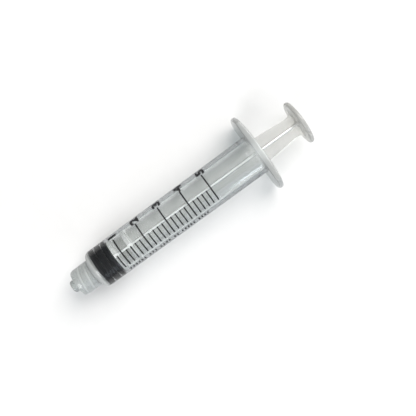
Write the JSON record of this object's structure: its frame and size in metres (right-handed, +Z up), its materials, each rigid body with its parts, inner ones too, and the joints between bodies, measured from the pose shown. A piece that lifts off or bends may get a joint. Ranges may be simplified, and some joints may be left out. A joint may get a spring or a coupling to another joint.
{
  "type": "oral syringe",
  "caption": "Three-part clear syringe with a locking collar round its nozzle, a finger flange, a ribbed plunger rod and a black rubber stopper.",
  "frame": {"origin": "under the middle of the syringe's length, on the surface it lies on, with the plunger pushed fully in", "axes": "+X along the syringe from the nozzle to the thumb rest, +Z up, the finger flange's wings along Y and its flats level"},
  "size_m": [0.0936, 0.0282, 0.016],
  "materials": {
    "clear_barrel": "clear, slightly milky polypropylene with a moulded gloss and black printed graduations",
    "clear_rod": "translucent polypropylene, satin gloss",
    "black_rubber": "black rubber with a film of silicone oil"
  },
  "bodies": {
    "barrel_body": {"barrel": "clear_barrel"},
    "stopper_body": {"stopper": "black_rubber"},
    "rod_body": {"plunger_rod": "clear_rod"}
  },
  "joints": [
    {"name": "plunger_stroke", "type": "slide", "parent": "barrel_body", "child": "stopper_body", "axis": [1, 0, 0], "range_m": [0, 0.053]},
    {"name": "rod_spin", "type": "hinge", "parent": "stopper_body", "child": "rod_body", "pos_m": [0, 0, 0.008], "axis": [1, 0, 0], "continuous": true}
  ]
}
